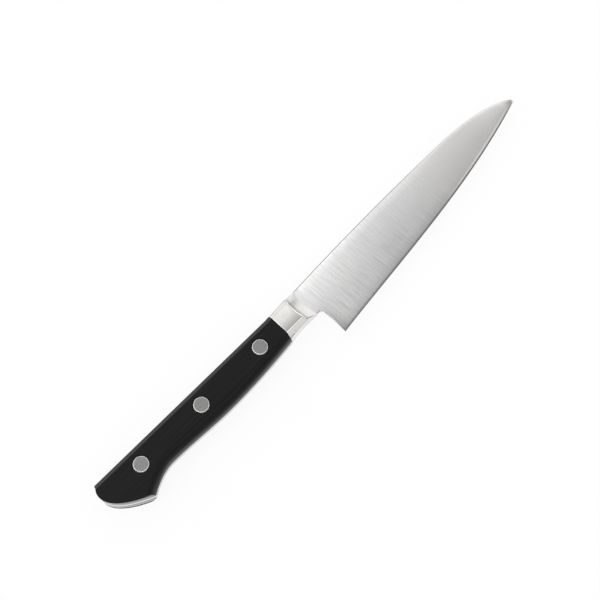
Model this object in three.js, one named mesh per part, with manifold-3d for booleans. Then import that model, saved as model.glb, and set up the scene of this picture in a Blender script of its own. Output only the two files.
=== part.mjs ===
// A petty knife with a 120 mm edge: one steel blank for blade, neck and full tang, two bolster halves
// welded to the tang, two laminated wood scales, and three two-part cutler's rivets.
// x runs from the butt to the tip, and x = 0 is the joint between scales and bolster. y runs from the
// edge to the spine, and y = 0 is the line of the rivets. z runs out of the right face, and z = 0 is the
// middle of the steel. The finished knife lies on its left side, centred over the origin.
import * as THREE from 'three';
import { mergeVertices } from 'three/addons/utils/BufferGeometryUtils.js';
import Module from 'manifold-3d';

const wasm = await Module();
wasm.setup();

// Blade outline, in millimetres
const EDGE_LENGTH = 120; // heel to tip, along x
const HEEL_REACH = 17.2; // joint to heel
const HEEL_DEPTH = 18; // rivet line down to the heel
const SPINE_HEIGHT = 9.47; // rivet line up to the highest stretch of the spine
const TIP_HEIGHT = 0.55; // rivet line up to the tip
const HEEL_SLOPE = 0.117; // rise of the edge at the heel
const TIP_SLOPE = 0.3; // rise of the edge at the tip
const POINT_LENGTH = 39.6; // stretch in which the spine falls to the tip
const POINT_ROUNDNESS = 0.995; // share of a quarter ellipse that the fall follows
const NECK_DEPTH = 5.2; // rivet line down to the underside of the neck
const NECK_FLARE = 8; // stretch in which the underside of the neck spreads to the scales
const CHOIL_RADIUS = 2.2; // round between the neck and the back of the blade
const CHOIL_LEAN = 0.5; // how far the back of the blade leans forward above the heel

// Blade section
const STEEL_THICKNESS = 1.8; // tang, and spine over the heel
const TIP_THICKNESS = 0.6; // spine at the tip
const SPINE_EASING = 0.25; // broken corners of the spine
const BEVEL_WIDTH = 0.8; // sharpened bevel
const BEVEL_THICKNESS = 0.3; // steel behind the bevel
const BEVEL_SHARE = 0.25; // most of the blade's height that the bevel may take, by the tip
const EASING_SHARE = 0.125; // the same for the broken corners of the spine
const NECK_GRIND = 8; // power of the section's curve at the bolster, nearly flat
const BLADE_GRIND = 1.6; // power of the section's curve along the blade, gently convex
const GRIND_RUNOUT = 15; // stretch from bolster to full grind

// Handle outline
const HANDLE_LENGTH = 91.75; // joint to the upper corner of the butt
const BUTT_CREST = 7.27; // rivet line up to that corner
const BUTT_CORNER = 1.85; // round of that corner
const CREST_DIP = 6.74; // rivet line up to the lowest point of the back
const DIP_SETBACK = 2; // joint to that point
const SPINE_REACH = 80; // joint to where the back has risen to that stretch
const BELLY_FRONT = 6.2; // rivet line down to the scales at the joint
const BELLY_FRONT_SLOPE = 0.11;
const SWELL_DEPTH = 8.3; // deepest point of the palm swell
const SWELL_SETBACK = 35; // joint to that point
const WAIST_DEPTH = 7.05; // slimmest point before the beak
const WAIST_TO_BEAK = 13.5;
const BEAK_DEPTH = 11.4;
const BEAK_SLOPE = 0.58;
const BEAK_SETBACK = 13.95; // upper corner of the butt to the beak, along x
const BUTT_BULGE = 2.3; // how far the butt's curve is drawn out just under its upper corner
const BUTT_FULLNESS = 3.25; // how far it is drawn out above the beak
const BULGE_SHARE = 0.222; // heights of those two pulls, as shares of the way down to the beak
const FULLNESS_SHARE = 0.6;

// Handle section
const HANDLE_THICKNESS = 12.2;
const BACK_DRAFT = 0.5; // how far the back slopes down from the tang to its chamfer
const CHAMFER_WIDTH = 1.7; // chamfer along the back, across the side face
const CHAMFER_DEPTH = 1.1; // the same chamfer, into the thickness
const BELLY_ROUND = 4; // round of the belly at the palm swell, across the side face
const BELLY_END_ROUND = 3; // the same at the joint and at the beak

// Bolster
const BOLSTER_LENGTH = 8.9; // joint to the middle of the front line
const BOLSTER_HOLLOW = 0.75; // how far the front line bows back at its middle
const FILLET_LENGTH = 5; // concave front, from the side face down to the neck
const FILLET_TURN = 1.45; // angle of the concave arc in radians, a little short of a quarter turn
const CREASE_DEPTH = 4; // rivet line down to the lower edge of the side face

// Rivets
const FRONT_RIVET_SETBACK = 11.1;
const RIVET_SPACING = 31.3;
const RIVET_NAMES = ['front', 'middle', 'rear'];
const HEAD_DIAMETER = 6.3;
const HEAD_HEIGHT = 2.2;
const TUBE_DIAMETER = 4.4;
const PIN_DIAMETER = 2.8;
const RIM_CHAMFER = 0.15;

// Clearances
const JOINT_GAP = 0.05; // glue or weld line between flat faces
const RIVET_FIT = 0.06; // all round a rivet, and between pin and tube
const PIN_END_ROOM = 0.8; // hollow left under the pressed-in pin

// Facets
const BLADE_STATIONS = 36;
const BLADE_CROWDING = 0.75; // how far the stations crowd towards the bolster and the tip
const GRIND_STEPS = 9;
const HANDLE_STATIONS = 24;
const BUTT_STEPS = 14;
const CORNER_STEPS = 3;
const ROUND_STEPS = 6;
const CHOIL_STEPS = 10;
const BOLSTER_STATIONS = 7;
const FILLET_STEPS = 7;
const CIRCLE_SIDES = 28;
const OVERLAP = 1; // how far joined solids reach into each other
const OVERSHOOT = 30; // how far cutters reach past the steel

const { lerp, smoothstep } = THREE.MathUtils;
const HALF_STEEL = STEEL_THICKNESS / 2;
const HALF_HANDLE = HANDLE_THICKNESS / 2;
const SEAT = HALF_STEEL + JOINT_GAP;
const TIP_X = HEEL_REACH + EDGE_LENGTH;
const BUTT_X = -HANDLE_LENGTH;
const BEAK_X = BUTT_X + BEAK_SETBACK;

// Outlines, as heights over x

function hermite(x, from, to) {
  const span = to.x - from.x;
  const t = (x - from.x) / span;
  const fade = 1 - t;
  const start = from.y * (1 + 2 * t) + from.slope * span * t;
  const end = to.y * (1 + 2 * fade) - to.slope * span * fade;
  return start * fade * fade + end * t * t;
}

function spineHeight(x) {
  const along = Math.max(0, (x - TIP_X) / POINT_LENGTH + 1) * POINT_ROUNDNESS;
  const fall = (1 - Math.sqrt(1 - along * along)) / (1 - Math.sqrt(1 - POINT_ROUNDNESS ** 2));
  return SPINE_HEIGHT - (SPINE_HEIGHT - TIP_HEIGHT) * fall;
}

function edgeHeight(x) {
  const heel = { x: HEEL_REACH, y: -HEEL_DEPTH, slope: HEEL_SLOPE };
  const tip = { x: TIP_X, y: TIP_HEIGHT, slope: TIP_SLOPE };
  return x > heel.x ? hermite(x, heel, tip) : heel.y + heel.slope * (x - heel.x);
}

// The back of the handle falls gently from the butt to a dip by the joint, then rises over the bolster
// in a flat parabola to the highest stretch of the spine.
function backHeight(x) {
  const butt = BUTT_X + BUTT_CORNER;
  if (x < -DIP_SETBACK) return lerp(BUTT_CREST, CREST_DIP, (x - butt) / (-DIP_SETBACK - butt));
  if (x > SPINE_REACH) return spineHeight(x);
  const left = (SPINE_REACH - x) / (SPINE_REACH + DIP_SETBACK);
  return lerp(SPINE_HEIGHT, CREST_DIP, left * left);
}

// The belly runs from the neck through palm swell and waist to the beak, and straight on past it.
function bellyHeight(x) {
  const joint = { x: 0, y: -BELLY_FRONT, slope: BELLY_FRONT_SLOPE };
  const swell = { x: -SWELL_SETBACK, y: -SWELL_DEPTH, slope: 0 };
  const waist = { x: BEAK_X + WAIST_TO_BEAK, y: -WAIST_DEPTH, slope: 0 };
  const beak = { x: BEAK_X, y: -BEAK_DEPTH, slope: BEAK_SLOPE };
  if (x > 0) return lerp(-BELLY_FRONT, -NECK_DEPTH, 1 - Math.max(0, 1 - x / NECK_FLARE) ** 2);
  if (x > swell.x) return hermite(x, joint, swell);
  if (x > waist.x) return hermite(x, swell, waist);
  if (x > beak.x) return hermite(x, waist, beak);
  return beak.y + beak.slope * (x - beak.x);
}

// The butt turns round its upper corner, swells out behind it and sweeps down to the beak.
function buttPoints() {
  const corner = new THREE.Vector2(BUTT_X, BUTT_CREST);
  const before = new THREE.Vector2(BUTT_X + BUTT_CORNER, BUTT_CREST);
  const after = new THREE.Vector2(BUTT_X, BUTT_CREST - BUTT_CORNER);
  const beak = new THREE.Vector2(BEAK_X, -BEAK_DEPTH);
  const bulge = new THREE.Vector2(BUTT_X - BUTT_BULGE, lerp(corner.y, beak.y, BULGE_SHARE));
  const fullness = new THREE.Vector2(BUTT_X - BUTT_FULLNESS, lerp(corner.y, beak.y, FULLNESS_SHARE));
  const round = new THREE.QuadraticBezierCurve(before, corner, after).getPoints(CORNER_STEPS);
  const sweep = new THREE.CubicBezierCurve(after, bulge, fullness, beak).getPoints(BUTT_STEPS);
  return [...round, ...sweep.slice(1)];
}

// Evenly spaced stations from one x to another
function stations(from, to, count) {
  return Array.from({ length: count + 1 }, (_, k) => lerp(from, to, k / count));
}

// Solids

// Joins rings of points, each turning counter-clockwise about the direction of travel, into one closed
// surface. The last ring may be a single point. flatten gives the plane in which the end rings are filled.
function loft(rings, flatten) {
  const count = rings[0].length;
  const index = [];
  const cap = (ring, first, facesForward) => {
    const flat = ring.map(flatten);
    const turnsLeft = !THREE.ShapeUtils.isClockWise(flat);
    for (const [a, b, c] of THREE.ShapeUtils.triangulateShape(flat, [])) {
      const rest = turnsLeft === facesForward ? [b, c] : [c, b];
      index.push(first + a, first + rest[0], first + rest[1]);
    }
  };
  for (let k = 0; k + 1 < rings.length; k++) {
    const toPoint = rings[k + 1].length === 1;
    for (let i = 0; i < count; i++) {
      const a = k * count + i;
      const b = k * count + ((i + 1) % count);
      if (toPoint) index.push(a, b, (k + 1) * count);
      else index.push(a, b, b + count, a, b + count, a + count);
    }
  }
  cap(rings[0], 0, false);
  if (rings.at(-1).length > 1) cap(rings.at(-1), (rings.length - 1) * count, true);
  const geometry = new THREE.BufferGeometry().setFromPoints(rings.flat());
  return geometry.setIndex(index);
}

function solidOf(geometry) {
  const bare = geometry.clone();
  bare.deleteAttribute('normal');
  bare.deleteAttribute('uv');
  const merged = mergeVertices(bare);
  const vertProperties = new Float32Array(merged.attributes.position.array);
  const triVerts = new Uint32Array(merged.index.array);
  return new wasm.Manifold(new wasm.Mesh({ numProp: 3, vertProperties, triVerts }));
}

function geometryOf(solid) {
  const { vertProperties, triVerts } = solid.getMesh();
  const geometry = new THREE.BufferGeometry();
  geometry.setAttribute('position', new THREE.BufferAttribute(new Float32Array(vertProperties), 3));
  return geometry.setIndex(new THREE.BufferAttribute(new Uint32Array(triVerts), 1));
}

// An outline given a thickness that is shared equally on both sides of the steel's middle plane
function slab(points, thickness) {
  const shape = new THREE.Shape(points);
  const geometry = new THREE.ExtrudeGeometry(shape, { depth: thickness, bevelEnabled: false });
  return solidOf(geometry.translate(0, 0, -thickness / 2));
}

// A turned piece standing along z, from a profile of (radius, z) that starts and ends on its axis
function turned(profile, x) {
  const geometry = new THREE.LatheGeometry(profile.map(([r, z]) => new THREE.Vector2(r, z)), CIRCLE_SIDES);
  return geometry.rotateX(Math.PI / 2).translate(x, 0, 0);
}

function mirrored(geometry) {
  const copy = geometry.clone().scale(1, 1, -1);
  const order = copy.index.array;
  for (let i = 0; i < order.length; i += 3) [order[i], order[i + 1]] = [order[i + 1], order[i]];
  return copy;
}

const rivetX = RIVET_NAMES.map((_, k) => -FRONT_RIVET_SETBACK - k * RIVET_SPACING);

function drilled(solid, profile) {
  return rivetX.reduce((left, x) => left.subtract(solidOf(turned(profile, x))), solid);
}

// Blade, neck and tang: a convex ground wedge with a sharpened bevel, lofted from the bolster to the tip
// and joined to a flat tang. The space under the neck is cut out with a round at the choil.

function bladeRing(x) {
  const towardsTip = Math.max(0, (x - HEEL_REACH) / EDGE_LENGTH);
  const half = lerp(STEEL_THICKNESS, TIP_THICKNESS, towardsTip) / 2;
  const top = backHeight(x);
  const edge = edgeHeight(x);
  const ease = Math.min(SPINE_EASING, half / 2, EASING_SHARE * (top - edge));
  const bevelWidth = Math.min(BEVEL_WIDTH, BEVEL_SHARE * (top - edge));
  const bevelHalf = Math.min(BEVEL_THICKNESS, half) / 2;
  const power = NECK_GRIND * (BLADE_GRIND / NECK_GRIND) ** smoothstep(x - BOLSTER_LENGTH, 0, GRIND_RUNOUT);
  const face = [new THREE.Vector3(x, top, half - ease)];
  for (let j = 0; j <= GRIND_STEPS; j++) {
    const down = j / GRIND_STEPS;
    const y = lerp(top - ease, edge + bevelWidth, down);
    face.push(new THREE.Vector3(x, y, lerp(half, bevelHalf, down ** power)));
  }
  const back = face.map((p) => new THREE.Vector3(p.x, p.y, -p.z)).reverse();
  return [...face, new THREE.Vector3(x, edge, 0), ...back];
}

function makeBlade() {
  const wave = 2 * Math.PI;
  const places = stations(0, 1, BLADE_STATIONS)
    .map((a) => TIP_X * (a - BLADE_CROWDING / wave * Math.sin(wave * a)));
  const rings = places.slice(0, -1).map(bladeRing);
  rings.push([new THREE.Vector3(TIP_X, TIP_HEIGHT, 0)]);
  const wedge = solidOf(loft(rings, (p) => new THREE.Vector2(p.y, p.z)));

  const choilX = HEEL_REACH + CHOIL_LEAN;
  const lean = CHOIL_LEAN / (HEEL_DEPTH - NECK_DEPTH);
  const below = -HEEL_DEPTH - OVERSHOOT;
  const underside = stations(-OVERLAP, choilX - CHOIL_RADIUS, HANDLE_STATIONS)
    .map((x) => new THREE.Vector2(x, bellyHeight(x)));
  const round = new THREE.EllipseCurve(
    choilX - CHOIL_RADIUS, -NECK_DEPTH - CHOIL_RADIUS, CHOIL_RADIUS, CHOIL_RADIUS, Math.PI / 2, 0, true);
  const backOfBlade = new THREE.Vector2(HEEL_REACH - lean * OVERSHOOT, below);
  const choil = slab([
    new THREE.Vector2(-OVERLAP, below), ...underside, ...round.getPoints(CHOIL_STEPS).slice(1), backOfBlade,
  ], 2 * OVERSHOOT);

  const top = stations(OVERLAP, BUTT_X + BUTT_CORNER, HANDLE_STATIONS)
    .map((x) => new THREE.Vector2(x, backHeight(x)));
  const bottom = stations(BEAK_X, OVERLAP, HANDLE_STATIONS).map((x) => new THREE.Vector2(x, bellyHeight(x)));
  const tang = slab([...top, ...buttPoints().slice(1, -1), ...bottom], STEEL_THICKNESS);
  const holeRadius = TUBE_DIAMETER / 2 + RIVET_FIT;
  const hole = [[0, -OVERSHOOT], [holeRadius, -OVERSHOOT], [holeRadius, OVERSHOOT], [0, OVERSHOOT]];
  return geometryOf(drilled(wedge.subtract(choil).add(tang), hole));
}

// Bolster half: flat side and seat, a back with the handle's draft and chamfer, a lower wall that slopes in
// from the tang to a crease, and a concave front that feathers out on the neck. Its front line bows back at
// the middle.

function backAt(x, z) {
  const rise = (z - HALF_STEEL) / (HALF_HANDLE - CHAMFER_DEPTH - HALF_STEEL);
  return backHeight(x) - BACK_DRAFT * Math.min(1, rise);
}

function lowerWallAt(x, z) {
  return lerp(bellyHeight(x), -CREASE_DEPTH, (z - HALF_STEEL) / (HALF_HANDLE - HALF_STEEL));
}

function makeBolster() {
  const lastDrop = Math.sin(FILLET_TURN);
  const lastRun = 1 - Math.cos(FILLET_TURN);
  const ring = (across, top) => {
    const front = BOLSTER_LENGTH + BOLSTER_HOLLOW * (2 * across - 1) ** 2;
    const profile = [[0, SEAT], [0, top]];
    for (const turn of stations(0, FILLET_TURN, FILLET_STEPS)) {
      const drop = Math.sin(turn) / lastDrop;
      const run = (1 - Math.cos(turn)) / lastRun;
      profile.push([front + run * FILLET_LENGTH, lerp(top, SEAT, drop)]);
    }
    const heightAt = (x, z) => lerp(lowerWallAt(x, z), backAt(x, z), across);
    return profile.map(([x, z]) => new THREE.Vector3(x, heightAt(x, z), z));
  };
  const chamferStart = 1 - CHAMFER_WIDTH / (backAt(0, HALF_HANDLE) + CREASE_DEPTH);
  const rings = stations(0, chamferStart, BOLSTER_STATIONS).map((across) => ring(across, HALF_HANDLE));
  rings.push(ring(1, HALF_HANDLE - CHAMFER_DEPTH));
  return loft(rings, (p) => new THREE.Vector2(p.z, p.x));
}

// Scale: a flat-sided section with a drafted and chamfered back, and a belly that rounds off in one ellipse
// across both scales and the tang. It is lofted along the handle, cut square by the butt's curve, and
// drilled and counterbored for the rivets.

function scaleRing(x) {
  const along = THREE.MathUtils.clamp(x / BEAK_X, 0, 1);
  const width = lerp(BELLY_END_ROUND, BELLY_ROUND, Math.sin(Math.PI * along));
  const back = backHeight(x);
  const belly = bellyHeight(x);
  const seatTurn = Math.asin(SEAT / HALF_HANDLE);
  const round = stations(Math.PI / 2, seatTurn, ROUND_STEPS).slice(0, -1).map((turn) => [
    belly + width * (1 - Math.cos(turn) / Math.cos(seatTurn)), HALF_HANDLE * Math.sin(turn),
  ]);
  const section = [
    [belly, SEAT], [back, SEAT], [back - BACK_DRAFT, HALF_HANDLE - CHAMFER_DEPTH],
    [back - BACK_DRAFT - CHAMFER_WIDTH, HALF_HANDLE], ...round,
  ];
  return section.map(([y, z]) => new THREE.Vector3(x, y, z));
}

function makeScale() {
  const rings = stations(BUTT_X - BUTT_FULLNESS, -JOINT_GAP, HANDLE_STATIONS).map(scaleRing);
  const bar = solidOf(loft(rings, (p) => new THREE.Vector2(p.y, p.z)));
  const keep = slab([
    new THREE.Vector2(OVERSHOOT, OVERSHOOT), new THREE.Vector2(BUTT_X + BUTT_CORNER, OVERSHOOT),
    ...buttPoints(), new THREE.Vector2(BEAK_X, -OVERSHOOT), new THREE.Vector2(OVERSHOOT, -OVERSHOOT),
  ], 2 * OVERSHOOT);
  const tubeHole = TUBE_DIAMETER / 2 + RIVET_FIT;
  const headHole = HEAD_DIAMETER / 2 + RIVET_FIT;
  const headSeat = HALF_HANDLE - HEAD_HEIGHT - RIVET_FIT;
  const bore = [
    [0, -OVERSHOOT], [tubeHole, -OVERSHOOT], [tubeHole, headSeat],
    [headHole, headSeat], [headHole, OVERSHOOT], [0, OVERSHOOT],
  ];
  return geometryOf(drilled(bar.intersect(keep), bore));
}

// Rivet halves: a head with a solid pin on the right face, pressed into a head with a tube on the left face.

const headRadius = HEAD_DIAMETER / 2;
const underHead = HALF_HANDLE - HEAD_HEIGHT;

function makePinHalf(x) {
  const pinRadius = PIN_DIAMETER / 2;
  const pinEnd = -underHead + PIN_END_ROOM;
  return turned([
    [0, pinEnd], [pinRadius, pinEnd], [pinRadius, underHead], [headRadius, underHead],
    [headRadius, HALF_HANDLE - RIM_CHAMFER], [headRadius - RIM_CHAMFER, HALF_HANDLE], [0, HALF_HANDLE],
  ], x);
}

function makeTubeHalf(x) {
  const tubeRadius = TUBE_DIAMETER / 2;
  const boreRadius = PIN_DIAMETER / 2 + RIVET_FIT;
  const tubeEnd = underHead - RIVET_FIT;
  return turned([
    [0, -HALF_HANDLE], [headRadius - RIM_CHAMFER, -HALF_HANDLE], [headRadius, -HALF_HANDLE + RIM_CHAMFER],
    [headRadius, -underHead], [tubeRadius, -underHead], [tubeRadius, tubeEnd], [boreRadius, tubeEnd],
    [boreRadius, -underHead], [0, -underHead],
  ], x);
}

// Assembly

const bladeSteel = new THREE.MeshStandardMaterial({ color: 0xc9c9c6, roughness: 0.3, metalness: 1 });
const bolsterSteel = new THREE.MeshStandardMaterial({ color: 0xd6d5d0, roughness: 0.16, metalness: 1 });
const rivetSteel = new THREE.MeshStandardMaterial({ color: 0xa9a9a8, roughness: 0.35, metalness: 1 });
const blackWood = new THREE.MeshStandardMaterial({ color: 0x1b1a1a, roughness: 0.38, metalness: 0 });

const knife = new THREE.Group();

function addPiece(name, geometry, material) {
  const mesh = new THREE.Mesh(geometry, material);
  mesh.name = name;
  knife.add(mesh);
}

addPiece('blade', makeBlade(), bladeSteel);
const bolster = makeBolster();
addPiece('right_bolster', bolster, bolsterSteel);
addPiece('left_bolster', mirrored(bolster), bolsterSteel);
const scale = makeScale();
addPiece('right_scale', scale, blackWood);
addPiece('left_scale', mirrored(scale), blackWood);
rivetX.forEach((x, k) => {
  addPiece(`${RIVET_NAMES[k]}_rivet_pin`, makePinHalf(x), rivetSteel);
  addPiece(`${RIVET_NAMES[k]}_rivet_tube`, makeTubeHalf(x), rivetSteel);
});

const box = new THREE.Box3().setFromObject(knife);
const middle = box.getCenter(new THREE.Vector3());
knife.position.set(-middle.x, -middle.y, -box.min.z);

export default knife;
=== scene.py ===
from math import atan2, cos, pi, radians, sin

import bmesh
import bpy
import numpy as np
from mathutils import Matrix, Vector


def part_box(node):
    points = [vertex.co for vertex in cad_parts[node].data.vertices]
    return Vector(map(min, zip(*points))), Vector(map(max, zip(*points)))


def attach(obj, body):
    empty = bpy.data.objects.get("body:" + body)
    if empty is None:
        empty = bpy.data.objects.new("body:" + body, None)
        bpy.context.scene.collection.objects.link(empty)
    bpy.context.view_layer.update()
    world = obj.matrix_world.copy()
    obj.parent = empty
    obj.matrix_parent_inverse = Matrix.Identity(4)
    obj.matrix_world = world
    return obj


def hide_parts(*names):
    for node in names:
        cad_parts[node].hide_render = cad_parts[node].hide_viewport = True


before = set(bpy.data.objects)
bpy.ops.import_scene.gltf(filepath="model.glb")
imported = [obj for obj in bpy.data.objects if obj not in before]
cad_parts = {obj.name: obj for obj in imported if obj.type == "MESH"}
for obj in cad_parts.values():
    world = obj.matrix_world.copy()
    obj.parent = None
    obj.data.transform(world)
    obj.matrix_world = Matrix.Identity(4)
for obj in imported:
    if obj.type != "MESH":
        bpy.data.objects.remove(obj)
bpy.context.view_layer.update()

# The knife's own axes, in millimetres: x = 0 is the joint between scales and bolster, with +x towards the
# tip. y = 0 is the line of the rivets, with +y towards the spine. z = 0 is the middle of the steel, with +z
# out of the right face. Points are turned into metres in the shared frame when a mesh is made.
MM = 0.001
JOINT_GAP = 0.05
rivet_low, rivet_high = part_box("front_rivet_pin")
blade_low, blade_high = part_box("blade")
knife_origin = Vector((
    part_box("right_scale")[1].x + JOINT_GAP * MM,
    (rivet_low.y + rivet_high.y) / 2,
    (blade_low.z + blade_high.z) / 2,
))

# Studio: a pale floor that the knife lies on, soft light all round, a broad panel of light behind the spine
# and a dim ceiling over the camera, so that the flat steel shades from spine to edge. Each stop is a
# direction from -1 to 1 and a level: the sky's stops run from front to back, the side's from butt to tip.
FLOOR_SIZE = 6.0
FLOOR_DROP = 0.0002
FLOOR_COLOR = (0.93, 0.93, 0.93, 1)
FLOOR_GLOW = 0.9
SKY_LEVEL = 1.45
SKY_STOPS = (
    (-1.0, 0.5), (-0.68, 0.5), (-0.38, 1.0), (-0.18, 0.34), (0.02, 0.3), (0.12, 0.46),
    (0.27, 0.93), (0.4, 0.9), (0.65, 0.56), (0.9, 0.56), (1.0, 0.7))
SIDE_STOPS = (
    (-1.0, 1.6), (-0.2, 1.3), (0.05, 1.07), (0.18, 1.06), (0.4, 0.76), (0.47, 0.76),
    (0.64, 1.0), (0.8, 1.0), (1.0, 0.9))
SOFTBOX_SIZE = 1.2
SOFTBOX_PLACE = (0.1, 1.3, 0.75)
SOFTBOX_WATTS = 1.5


def link(tree, source, target):
    """Joins an output socket to an input socket."""
    tree.links.new(source, target)


def add_node(tree, kind, inputs, **settings):
    """A node with its settings, and with each named or numbered input set to a value or a socket."""
    node = tree.nodes.new(kind)
    for key, value in settings.items():
        setattr(node, key, value)
    for key, value in inputs.items():
        if isinstance(value, bpy.types.NodeSocket):
            link(tree, value, node.inputs[key])
        else:
            node.inputs[key].default_value = value
    return node


def combine(tree, operation, *values):
    """Two or more values joined one after another by the same operation."""
    result = values[0]
    for value in values[1:]:
        result = add_node(tree, "ShaderNodeMath", {0: result, 1: value}, operation=operation).outputs[0]
    return result


def make_floor():
    """A square sheet just under the knife. Camera, mirror and glass rays see it part of the way to white."""
    half = FLOOR_SIZE / 2
    corners = np.array([[-half, -half], [half, -half], [half, half], [-half, half]])
    mesh = bpy.data.meshes.new("floor")
    mesh.from_pydata(np.column_stack([corners, np.full(4, -FLOOR_DROP)]).tolist(), [], [(0, 1, 2, 3)])
    material = bpy.data.materials.new("pale_floor")
    material.use_nodes = True
    tree = material.node_tree
    tree.nodes.clear()
    paint = add_node(tree, "ShaderNodeBsdfDiffuse", {"Color": FLOOR_COLOR})
    glow = add_node(tree, "ShaderNodeEmission", {})
    path = add_node(tree, "ShaderNodeLightPath", {}).outputs
    any_view = combine(
        tree, "MAXIMUM", path["Is Camera Ray"], path["Is Glossy Ray"], path["Is Transmission Ray"])
    mix = add_node(tree, "ShaderNodeMixShader", {
        "Fac": combine(tree, "MULTIPLY", any_view, FLOOR_GLOW),
        1: paint.outputs["BSDF"], 2: glow.outputs["Emission"]})
    add_node(tree, "ShaderNodeOutputMaterial", {"Surface": mix.outputs["Shader"]})
    mesh.materials.append(material)
    floor = bpy.data.objects.new("floor", mesh)
    bpy.context.scene.collection.objects.link(floor)


def make_sky():
    """World light by the direction it comes from: its y picks a level from the sky's stops, from the front
    over the dim ceiling to the panel at the back, times the level that its x picks from the side's."""
    world = bpy.data.worlds.new("studio")
    world.use_nodes = True
    tree = world.node_tree
    tree.nodes.clear()
    direction = add_node(tree, "ShaderNodeTexCoord", {}).outputs["Generated"]
    axes = add_node(tree, "ShaderNodeSeparateXYZ", {"Vector": direction}).outputs
    levels = []
    for axis, stops in (("X", SIDE_STOPS), ("Y", SKY_STOPS)):
        along = add_node(tree, "ShaderNodeMapRange", {"Value": axes[axis], "From Min": -1.0})
        panels = add_node(tree, "ShaderNodeValToRGB", {"Fac": along.outputs["Result"]})
        panels.color_ramp.interpolation = "EASE"
        elements = panels.color_ramp.elements
        while len(elements) < len(stops):
            elements.new(1.0)
        for element, (place, level) in zip(elements, stops):
            element.position = (place + 1) / 2
            element.color = (level, level, level, 1)
        levels.append(panels.outputs["Color"])
    both = add_node(tree, "ShaderNodeVectorMath", {0: levels[0], 1: levels[1]}, operation="MULTIPLY")
    background = add_node(tree, "ShaderNodeBackground", {
        "Color": both.outputs["Vector"], "Strength": SKY_LEVEL})
    add_node(tree, "ShaderNodeOutputWorld", {"Surface": background.outputs["Background"]})
    bpy.context.scene.world = world


def make_softbox():
    """A square lamp behind the spine that points at the middle of the knife."""
    lamp = bpy.data.lights.new("softbox", "AREA")
    lamp.size = SOFTBOX_SIZE
    lamp.energy = SOFTBOX_WATTS
    softbox = bpy.data.objects.new("softbox", lamp)
    softbox.location = SOFTBOX_PLACE
    softbox.rotation_euler = (-Vector(SOFTBOX_PLACE)).to_track_quat("-Z", "Y").to_euler()
    bpy.context.scene.collection.objects.link(softbox)


make_floor()
make_sky()
make_softbox()
bpy.context.scene.view_settings.view_transform = "Standard"

# Camera: above and a little in front of the handle, turned so that the knife climbs across the picture.
# Its place is in the knife's millimetres, and its focal length in pixels of the square picture.
PICTURE_PIXELS = 600
FOCAL_PIXELS = 1260
SENSOR_WIDTH = 36.0
AIM = Vector((14.35, 3.72, 0.0))
CAMERA_FROM_AIM = Vector((-106.2, -125.5, 463.4))
KNIFE_CLIMB = radians(44.5)
CLIP_START = 0.01


def make_camera():
    """Looks from its place at the aim, rolled until the knife's x axis climbs by the given angle."""
    forward = -CAMERA_FROM_AIM.normalized()
    along = Vector((1, 0, 0))
    side = forward.cross(Vector((0, 1, 0))).normalized()
    up = side.cross(forward)
    roll = atan2(along.dot(up), along.dot(side)) - KNIFE_CLIMB
    right = cos(roll) * side + sin(roll) * up
    upward = cos(roll) * up - sin(roll) * side
    lens = bpy.data.cameras.new("camera")
    lens.sensor_width = SENSOR_WIDTH
    lens.lens = SENSOR_WIDTH * FOCAL_PIXELS / PICTURE_PIXELS
    lens.clip_start = CLIP_START
    camera = bpy.data.objects.new("camera", lens)
    turn = Matrix((right, upward, -forward)).transposed().to_4x4()
    camera.matrix_world = Matrix.Translation((AIM + CAMERA_FROM_AIM) * MM + knife_origin) @ turn
    bpy.context.scene.collection.objects.link(camera)
    bpy.context.scene.camera = camera


make_camera()

# Blade: one blank of clad steel, forged and ground into blade, neck and full tang. The faces are gently
# convex and satin-ground from spine to edge, the bevel is honed, and the tang shows as a strip round the
# handle.
EDGE_LENGTH = 120.0
HEEL_REACH = 17.2
HEEL_DEPTH = (knife_origin.y - blade_low.y) / MM
SPINE_HEIGHT = 9.47
TIP_HEIGHT = 0.55
HEEL_SLOPE = 0.117
TIP_SLOPE = 0.3
POINT_LENGTH = 39.6
POINT_ROUNDNESS = 0.995
NECK_DEPTH = 5.2
NECK_FLARE = 8.0
CHOIL_RADIUS = 2.2
CHOIL_LEAN = 0.5
STEEL_THICKNESS = 1.8
TIP_THICKNESS = 0.6
SPINE_EASING = 0.25
TANG_EASING = 0.04
BRINK_EASING = 0.15
BEVEL_WIDTH = 0.55
BEVEL_THICKNESS = 0.2
BEVEL_SHARE = 0.25
EASING_SHARE = 0.125
NECK_GRIND = 8.0
BLADE_GRIND = 1.6
GRIND_RUNOUT = 15.0
HANDLE_LENGTH = 91.748
BUTT_CREST = 7.27
BUTT_CORNER = 1.85
CREST_DIP = 6.74
DIP_SETBACK = 2.0
SPINE_REACH = 80.0
BELLY_FRONT = 6.2
BELLY_FRONT_SLOPE = 0.11
SWELL_DEPTH = 8.3
SWELL_SETBACK = 35.0
WAIST_DEPTH = 7.05
WAIST_TO_BEAK = 13.5
BEAK_DEPTH = 11.4
BEAK_SLOPE = 0.58
BEAK_SETBACK = 13.95
BUTT_BULGE = 2.3
BUTT_FULLNESS = 3.25
BULGE_SHARE = 0.222
FULLNESS_SHARE = 0.6
BOLSTER_LENGTH = 8.9
TIP_X = HEEL_REACH + EDGE_LENGTH
BUTT_X = -HANDLE_LENGTH
BEAK_X = BUTT_X + BEAK_SETBACK
CHOIL_X = HEEL_REACH + CHOIL_LEAN
TANG_ROWS = 61
NECK_ROWS = 25
CHOIL_ROWS = 17
HEEL_ROWS = 21
EDGE_ROWS = 181
TIP_CROWDING = 1.5
CORNER_STEPS = 5
FACE_STEPS = 33
BEVEL_STEPS = 4
BRINK_SHARE = 0.6
BUTT_STEPS = 200
BUTT_BEND_ROWS = 30
SLIVER = 1e-6


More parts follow.
